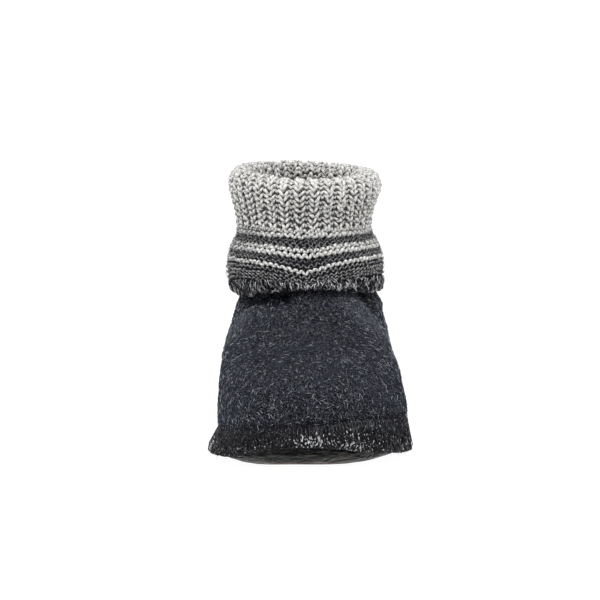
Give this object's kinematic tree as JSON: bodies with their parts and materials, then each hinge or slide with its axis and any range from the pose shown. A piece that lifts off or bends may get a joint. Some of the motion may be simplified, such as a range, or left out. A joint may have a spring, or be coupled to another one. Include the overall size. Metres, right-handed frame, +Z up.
{
  "type": "slipper",
  "caption": "Soft ankle-high house slipper with a boiled-wool upper, a fold-over knitted cuff and a turned-up leather sole",
  "frame": {"origin": "on the floor under the middle of the slipper's bounding box", "axes": "+Z is up, +Y runs from the toe to the heel, so the toe points to -Y, and -X is the inner side of the left foot"},
  "size_m": [0.1073, 0.262, 0.1432],
  "materials": {
    "boiled_wool": "matte, felted",
    "marled_knit": "matte, knitted",
    "sole_leather": "soft, slightly glossy",
    "insole_felt": "matte, felted"
  },
  "bodies": {
    "root": {"upper": "boiled_wool", "cuff": "marled_knit", "outsole": "sole_leather", "insole": "insole_felt"}
  },
  "joints": []
}
